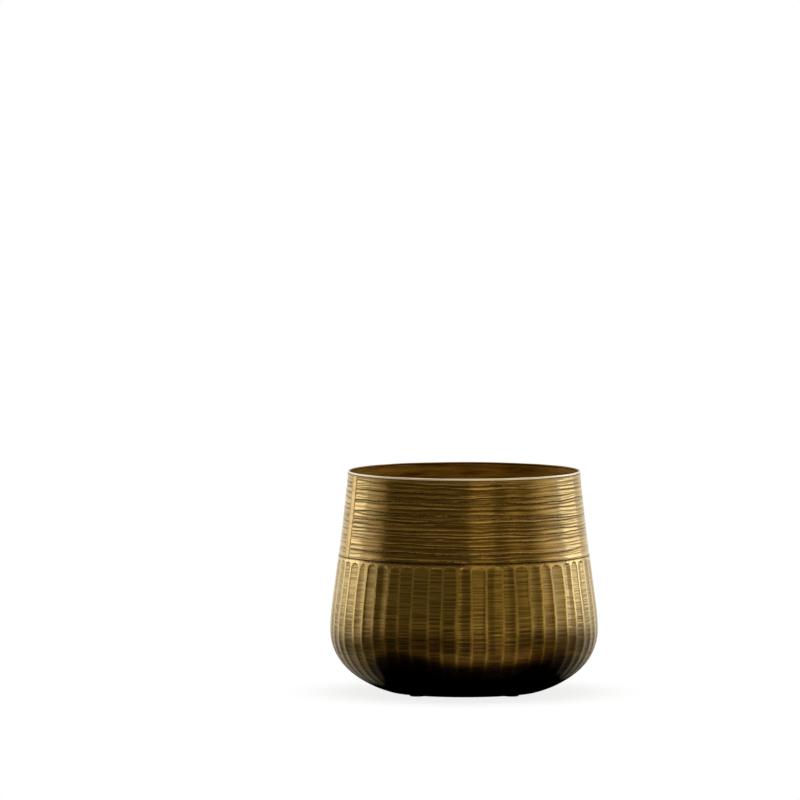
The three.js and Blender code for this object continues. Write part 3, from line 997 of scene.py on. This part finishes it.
class POT_OT_base_disc(bpy.types.Operator):
    """Turn the disc that closes the bowl from inside"""

    bl_idname = "plant_pot.base_disc"
    bl_label = "Base disc"

    def execute(self, context):
        thickness = DISC_HIGH.z - DISC_LOW.z
        deselect_all()
        bpy.ops.mesh.primitive_cylinder_add(vertices=192, radius=DISC_HIGH.x, depth=thickness,
                                            location=(0, 0, DISC_LOW.z + thickness / 2))
        piece = new_piece("base_disc_spun")
        bpy.ops.object.mode_set(mode="EDIT")
        bpy.ops.mesh.select_mode(type="FACE")
        bpy.ops.mesh.select_all(action="DESELECT")
        bpy.ops.object.mode_set(mode="OBJECT")
        for face in piece.data.polygons:
            face.select = abs(face.normal.z) > 0.9
        bpy.ops.object.mode_set(mode="EDIT")
        for ring in range(DISC_RINGS):
            depth = DISC_RING_DEPTH if ring % 2 else -DISC_RING_DEPTH
            bpy.ops.mesh.inset(thickness=DISC_RING_STEP, depth=depth if ring else 0, use_individual=True)
        bpy.ops.object.mode_set(mode="OBJECT")
        apply_modifier(piece, "BEVEL", width=0.3 * MM, segments=2, angle_limit=BEVEL_ANGLE)
        material = plain_metal("dull_brass_sheet", context.scene.pot_colours.disc, 0.45)
        finish_piece(piece, material, "base_disc")
        return {"FINISHED"}


class POT_OT_foot_pads(bpy.types.Operator):
    """Mould a rubber foot pad at each place under the base"""

    bl_idname = "plant_pot.foot_pads"
    bl_label = "Foot pads"

    def execute(self, context):
        material = moulded_rubber()
        for name in FOOT_PADS:
            low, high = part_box(name)
            deselect_all()
            bpy.ops.mesh.primitive_cylinder_add(vertices=48, radius=(high.x - low.x) / 2,
                                                depth=high.z - low.z, location=(low + high) / 2)
            piece = new_piece(name + "_moulded")
            apply_modifier(piece, "BEVEL", width=0.25 * MM, segments=3)
            finish_piece(piece, material, name)
        return {"FINISHED"}


# Studio

# The photograph's frame: its scale, its width and the pixels of the pot's axis and of the table
MM_A_PIXEL = 0.7465
IMAGE_SIDE = 800
AXIS_PIXEL = 464.1
TABLE_PIXEL = 692.2
SENSOR = 36
FLOOR_RADIUS = 0.15
# Two softboxes: each one's name, angle from the front in degrees and power, and the distance, height
# and size of both
SOFTBOXES = (("softbox_left", -125, 2.8), ("softbox_right", 122, 4.6))
SOFTBOX_DISTANCE = 1.6
SOFTBOX_HEIGHT = 0.75
SOFTBOX_SIZE = (0.9, 1.4)
# The room by direction, in degrees from the front towards +X: its brightness, the share of the dim
# front in it and how warm it is
ROOM_LEVELS = (
    (-180, 1.0, 0, 0), (-153, 1.0, 0, 0), (-135, 0.95, 0, 0), (-122, 0.9, 0, 0.22), (-111, 0.88, 0, 0.32),
    (-98, 0.79, 0.2, 0.45), (-90, 0.69, 0.4, 0.55), (-84, 0.55, 0.5, 0.75), (-83, 0.33, 1, 1),
    (-70, 0.31, 1, 1), (-20, 0.37, 1, 1), (5.2, 0.38, 1, 1), (6.2, 0.89, 1, 1), (28.6, 0.87, 1, 1),
    (29.4, 0.39, 1, 1), (41.6, 0.5, 1, 1), (42.4, 0.77, 1, 1), (50, 0.81, 1, 1), (61, 0.62, 1, 0.95),
    (66, 0.62, 1, 0.9), (76, 0.74, 0.75, 0.8), (85, 1.0, 0.4, 0.7), (94, 0.97, 0.1, 0.55),
    (107, 0.91, 0, 0.1), (134, 0.88, 0, 0), (155, 1.0, 0, 0), (180, 1.0, 0, 0))
# Factors by the sine of the elevation: of that brightness, for the dim front and for the rest, and of
# the warmth
HEIGHT_LEVELS = (
    (-0.85, 0.9, 0.6, 0), (-0.7, 1.5, 0.6, 0.2), (-0.55, 2.2, 0.6, 0.4), (-0.4, 1.8, 0.65, 0.75),
    (-0.17, 0.95, 0.85, 1), (-0.087, 0.7, 0.96, 1), (0.05, 0.6, 1, 1), (0.11, 0.53, 1, 1),
    (0.17, 0.43, 0.95, 1), (0.25, 0.3, 0.82, 1), (0.38, 0.22, 0.67, 1), (0.55, 0.2, 0.55, 1))
WARM_TINT = (1.0, 0.74, 0.25, 1)
WHITE = (1, 1, 1, 1)


class POT_OT_studio(bpy.types.Operator):
    """Set the camera, the pale floor and the soft light"""

    bl_idname = "plant_pot.studio"
    bl_label = "Studio"

    def execute(self, context):
        scene = context.scene
        scene.view_settings.view_transform = "Standard"
        add_camera(scene)
        add_floor()
        add_lamps()
        add_room(scene)
        return {"FINISHED"}


def add_camera(scene):
    """A long lens in front of the pot, a little above it, that frames it as the photograph does."""
    studio = scene.pot_studio
    pixel = MM_A_PIXEL * MM
    distance = IMAGE_SIDE * pixel * studio.lens / SENSOR
    aim = Vector(((IMAGE_SIDE / 2 - AXIS_PIXEL) * pixel, 0,
                  (TABLE_PIXEL - IMAGE_SIDE / 2) * pixel / math.cos(studio.camera_height)))
    back = Vector((0, -math.cos(studio.camera_height), math.sin(studio.camera_height)))
    deselect_all()
    bpy.ops.object.camera_add(location=aim + distance * back,
                              rotation=(math.pi / 2 - studio.camera_height, 0, 0))
    camera = bpy.context.object
    camera.name = "camera"
    camera.data.sensor_width = SENSOR
    camera.data.lens = studio.lens
    camera.data.clip_end = 100
    scene.camera = camera


def add_floor():
    """A pale round table top. It shines with the white of the background and keeps the pot's shadow.

    Only the camera and the rays in metal or through glass see it shine.
    """
    deselect_all()
    bpy.ops.mesh.primitive_circle_add(vertices=128, radius=FLOOR_RADIUS, fill_type="NGON", location=(0, 0, 0))
    floor = bpy.context.object
    floor.name = "floor"
    material, add, place = new_material("pale_table_top")
    far = add("ShaderNodeVectorMath", place, operation="LENGTH")
    edge = add("ShaderNodeMapRange", far, 0.08, FLOOR_RADIUS * 0.95, 0.84, 1.0,
               interpolation_type="SMOOTHSTEP")
    rays = add("ShaderNodeLightPath").outputs
    seen = add("ShaderNodeMath", rays["Is Camera Ray"], rays["Is Glossy Ray"], operation="ADD")
    seen = add("ShaderNodeMath", seen, rays["Is Transmission Ray"], operation="ADD", use_clamp=True)
    share = add("ShaderNodeMath", edge, seen, operation="MULTIPLY")
    white = add("ShaderNodeEmission", {"Color": WHITE})
    matt = add("ShaderNodeBsdfDiffuse", {"Color": hex_colour("EDEBE7")})
    mix = add("ShaderNodeMixShader", share, matt, white)
    add("ShaderNodeOutputMaterial", mix)
    floor.data.materials.append(material)


def add_lamps():
    """Two tall softboxes, left and right of the pot and a little behind it."""
    for name, turn, power in SOFTBOXES:
        angle = math.radians(turn)
        place = SOFTBOX_DISTANCE * Vector((math.sin(angle), -math.cos(angle), 0))
        place.z = SOFTBOX_HEIGHT
        to_the_pot = Vector((0, 0, 0.1)) - place
        deselect_all()
        bpy.ops.object.light_add(type="AREA", location=place,
                                 rotation=to_the_pot.to_track_quat("-Z", "Y").to_euler())
        lamp = bpy.context.object
        lamp.name = name
        lamp.data.shape = "RECTANGLE"
        lamp.data.size, lamp.data.size_y = SOFTBOX_SIZE
        lamp.data.energy = power


def add_room(scene):
    """White behind and beside the pot, a dim room in front of it, and a light ceiling.

    The directions are those of the world, so the pattern stays in place when the camera moves.
    """
    scene.world = bpy.data.worlds.new("studio_room")
    add = node_adder(scene.world)
    direction = add("ShaderNodeTexCoord").outputs["Generated"]
    x, y, z = add("ShaderNodeSeparateXYZ", direction).outputs
    front = add("ShaderNodeMath", y, -1.0, operation="MULTIPLY")
    turn = add("ShaderNodeMath", x, front, operation="ARCTAN2")
    share = add("ShaderNodeMapRange", turn, -math.pi, math.pi)
    pattern = add("ShaderNodeValToRGB", share)
    set_ramp(pattern, [(degrees, (bright, dim, warm, 1)) for degrees, bright, dim, warm in ROOM_LEVELS])
    bright, dim, warm = add("ShaderNodeSeparateColor", pattern).outputs

    most = max(level[1] for level in HEIGHT_LEVELS)
    up_share = add("ShaderNodeMapRange", z, HEIGHT_LEVELS[0][0], HEIGHT_LEVELS[-1][0])
    slope = add("ShaderNodeValToRGB", up_share)
    set_ramp(slope, [(sine, (low / most, full / most, hue, 1)) for sine, low, full, hue in HEIGHT_LEVELS])
    front, rest, warmth = add("ShaderNodeSeparateColor", slope).outputs
    factor = add("ShaderNodeMix", dim, {2: rest, 3: front})
    factor = add("ShaderNodeMath", factor, most, operation="MULTIPLY")
    walls = add("ShaderNodeMath", bright, factor, operation="MULTIPLY")
    up = add("ShaderNodeMapRange", z, 0.55, 0.8, interpolation_type="SMOOTHSTEP")
    grey = add("ShaderNodeMix", up, {2: walls, 3: 1.0})
    overhead = add("ShaderNodeMapRange", z, 0.75, 0.95, 1.0, 0.0)
    warm = add("ShaderNodeMath", warm, overhead, operation="MULTIPLY")
    warm = add("ShaderNodeMath", warm, warmth, operation="MULTIPLY")
    tint = add("ShaderNodeMix", warm, {6: WHITE, 7: WARM_TINT}, data_type="RGBA")
    room = add("ShaderNodeMix", 1.0, {6: grey, 7: tint}, data_type="RGBA", blend_type="MULTIPLY")
    camera_ray = add("ShaderNodeLightPath").outputs["Is Camera Ray"]
    seen = add("ShaderNodeMix", camera_ray, {6: room, 7: WHITE}, data_type="RGBA")
    background = add("ShaderNodeBackground", {"Color": seen})
    add("ShaderNodeOutputWorld", background)


class POT_PT_panel(bpy.types.Panel):
    """Lists the pot's sizes, colours and pieces"""

    bl_idname = "POT_PT_panel"
    bl_label = "Plant Pot"
    bl_space_type = "VIEW_3D"
    bl_region_type = "UI"
    bl_category = "Plant Pot"

    def draw(self, context):
        for name in GROUPS:
            group = getattr(context.scene, name)
            box = self.layout.box()
            for setting in group.__annotations__:
                box.prop(group, setting)
        for operator in OPERATORS:
            self.layout.operator(operator.bl_idname)


GROUPS = {"pot_sizes": PotSizes, "pot_colours": PotColours, "pot_studio": StudioSettings}
OPERATORS = (POT_OT_studio, POT_OT_collar, POT_OT_bowl, POT_OT_seam_strip, POT_OT_rim, POT_OT_base_disc,
             POT_OT_foot_pads)
CLASSES = (*GROUPS.values(), *OPERATORS, POT_PT_panel)


def register():
    for cls in CLASSES:
        bpy.utils.register_class(cls)
    for name, group in GROUPS.items():
        setattr(bpy.types.Scene, name, PointerProperty(type=group))


def unregister():
    for name in GROUPS:
        delattr(bpy.types.Scene, name)
    for cls in reversed(CLASSES):
        bpy.utils.unregister_class(cls)


def main():
    """Makes every piece in order."""
    register()
    bpy.ops.plant_pot.studio()
    bpy.ops.plant_pot.collar()
    bpy.ops.plant_pot.bowl()
    bpy.ops.plant_pot.seam_strip()
    bpy.ops.plant_pot.rim()
    bpy.ops.plant_pot.base_disc()
    bpy.ops.plant_pot.foot_pads()


if __name__ == "__main__":
    main()
